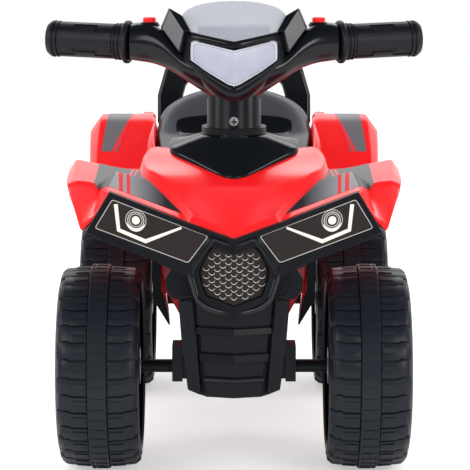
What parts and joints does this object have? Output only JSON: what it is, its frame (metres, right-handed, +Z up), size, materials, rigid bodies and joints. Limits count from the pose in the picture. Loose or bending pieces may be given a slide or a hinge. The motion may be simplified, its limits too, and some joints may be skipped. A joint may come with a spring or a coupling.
{
  "type": "kids ride-on quad bike",
  "caption": "Foot-to-floor ride-on quad bike for a small child, with broad wheels, steering handlebar, moulded seat and rear loop handle.",
  "frame": {"origin": "on the floor under the middle of the quad's box", "axes": "+Z up, the quad faces -Y, +X to the rider's left"},
  "size_m": [0.3808, 0.6, 0.4486],
  "materials": {
    "red_gloss": "bright red moulded polypropylene with a clear gloss",
    "red_button": "bright red moulded plastic",
    "black_gloss": "charcoal black moulded plastic with a soft gloss",
    "black_matte": "black moulded plastic, fine grain",
    "grip_black": "matt black soft grip",
    "wheel_black": "blow-moulded black plastic, satin",
    "headlight_print": "dark printed film with silver lines",
    "grille_print": "dark printed film with silver arcs",
    "lens_pale": "pale milky lens",
    "smoke_clear": "smoky clear plastic",
    "steel": "plain steel",
    "nylon": "white nylon",
    "board_green": "green circuit board",
    "speaker_black": "black speaker",
    "cell_wrap": "plain metallic cell wrap"
  },
  "bodies": {
    "chassis": {"body_screws": "steel", "chassis_frame": "black_matte", "dash_plate": "black_gloss", "front_cowl": "red_gloss", "front_fascia": "black_gloss", "grille_mesh": "grille_print", "handle_screws": "steel", "headlight_panel_left": "headlight_print", "headlight_panel_right": "headlight_print", "lower_steering_bush": "nylon", "middle_steering_bush": "nylon", "rear_axle": "steel", "rear_axle_bushes": "nylon", "rear_axle_caps": "steel", "rear_axle_sleeves": "black_matte", "rear_body": "red_gloss", "rear_handle": "black_gloss", "seat": "black_gloss", "skid_plate": "black_gloss", "skid_plate_screws": "steel", "upper_steering_bush": "nylon"},
    "steering": {"front_axle_carrier": "black_matte", "rod_pin": "steel", "front_axle": "steel", "front_axle_caps": "steel", "steering_neck": "black_gloss", "neck_screw": "steel", "steering_rod": "steel", "thrust_washer": "steel", "headlight_housing": "black_gloss", "headlight_lens": "lens_pale", "light_board": "board_green", "windshield": "smoke_clear", "console": "black_gloss", "console_cover": "black_gloss", "battery_box": "black_matte", "battery_cells": "cell_wrap", "speaker": "speaker_black", "sound_board": "board_green", "handlebar_upper_shell": "black_gloss", "handlebar_lower_shell": "black_gloss", "handlebar_frame": "black_matte", "grip_left": "grip_black", "grip_right": "grip_black", "switch_board_left": "board_green", "switch_board_right": "board_green"},
    "front_left_wheel": {"front_wheel_left": "wheel_black", "front_hub_cap_left": "black_matte", "front_wheel_bush_left": "nylon"},
    "front_right_wheel": {"front_wheel_right": "wheel_black", "front_hub_cap_right": "black_matte", "front_wheel_bush_right": "nylon"},
    "rear_left_wheel": {"rear_wheel_left": "wheel_black", "rear_hub_cap_left": "black_matte", "rear_wheel_bush_left": "nylon"},
    "rear_right_wheel": {"rear_wheel_right": "wheel_black", "rear_hub_cap_right": "black_matte", "rear_wheel_bush_right": "nylon"},
    "left_button": {"button_left": "red_button"},
    "right_button": {"button_right": "red_button"}
  },
  "joints": [
    {"name": "steering_turn", "type": "hinge", "parent": "chassis", "child": "steering", "pos_m": [0, -0.178, 0.1], "axis": [0, 0.309, 0.9511], "range_deg": [-20, 20]},
    {"name": "front_left_wheel_spin", "type": "hinge", "parent": "steering", "child": "front_left_wheel", "pos_m": [0.1285, -0.178, 0.1], "axis": [1, 0, 0], "continuous": true},
    {"name": "front_right_wheel_spin", "type": "hinge", "parent": "steering", "child": "front_right_wheel", "pos_m": [-0.1285, -0.178, 0.1], "axis": [1, 0, 0], "continuous": true},
    {"name": "rear_left_wheel_spin", "type": "hinge", "parent": "chassis", "child": "rear_left_wheel", "pos_m": [0.1285, 0.166, 0.1], "axis": [1, 0, 0], "continuous": true},
    {"name": "rear_right_wheel_spin", "type": "hinge", "parent": "chassis", "child": "rear_right_wheel", "pos_m": [-0.1285, 0.166, 0.1], "axis": [1, 0, 0], "continuous": true},
    {"name": "left_button_press", "type": "slide", "parent": "steering", "child": "left_button", "axis": [0, 0, -1], "range_m": [0, 0.003], "stiffness_N_per_m": 300, "springref_m": -0.001},
    {"name": "right_button_press", "type": "slide", "parent": "steering", "child": "right_button", "axis": [0, 0, -1], "range_m": [0, 0.003], "stiffness_N_per_m": 300, "springref_m": -0.001}
  ]
}
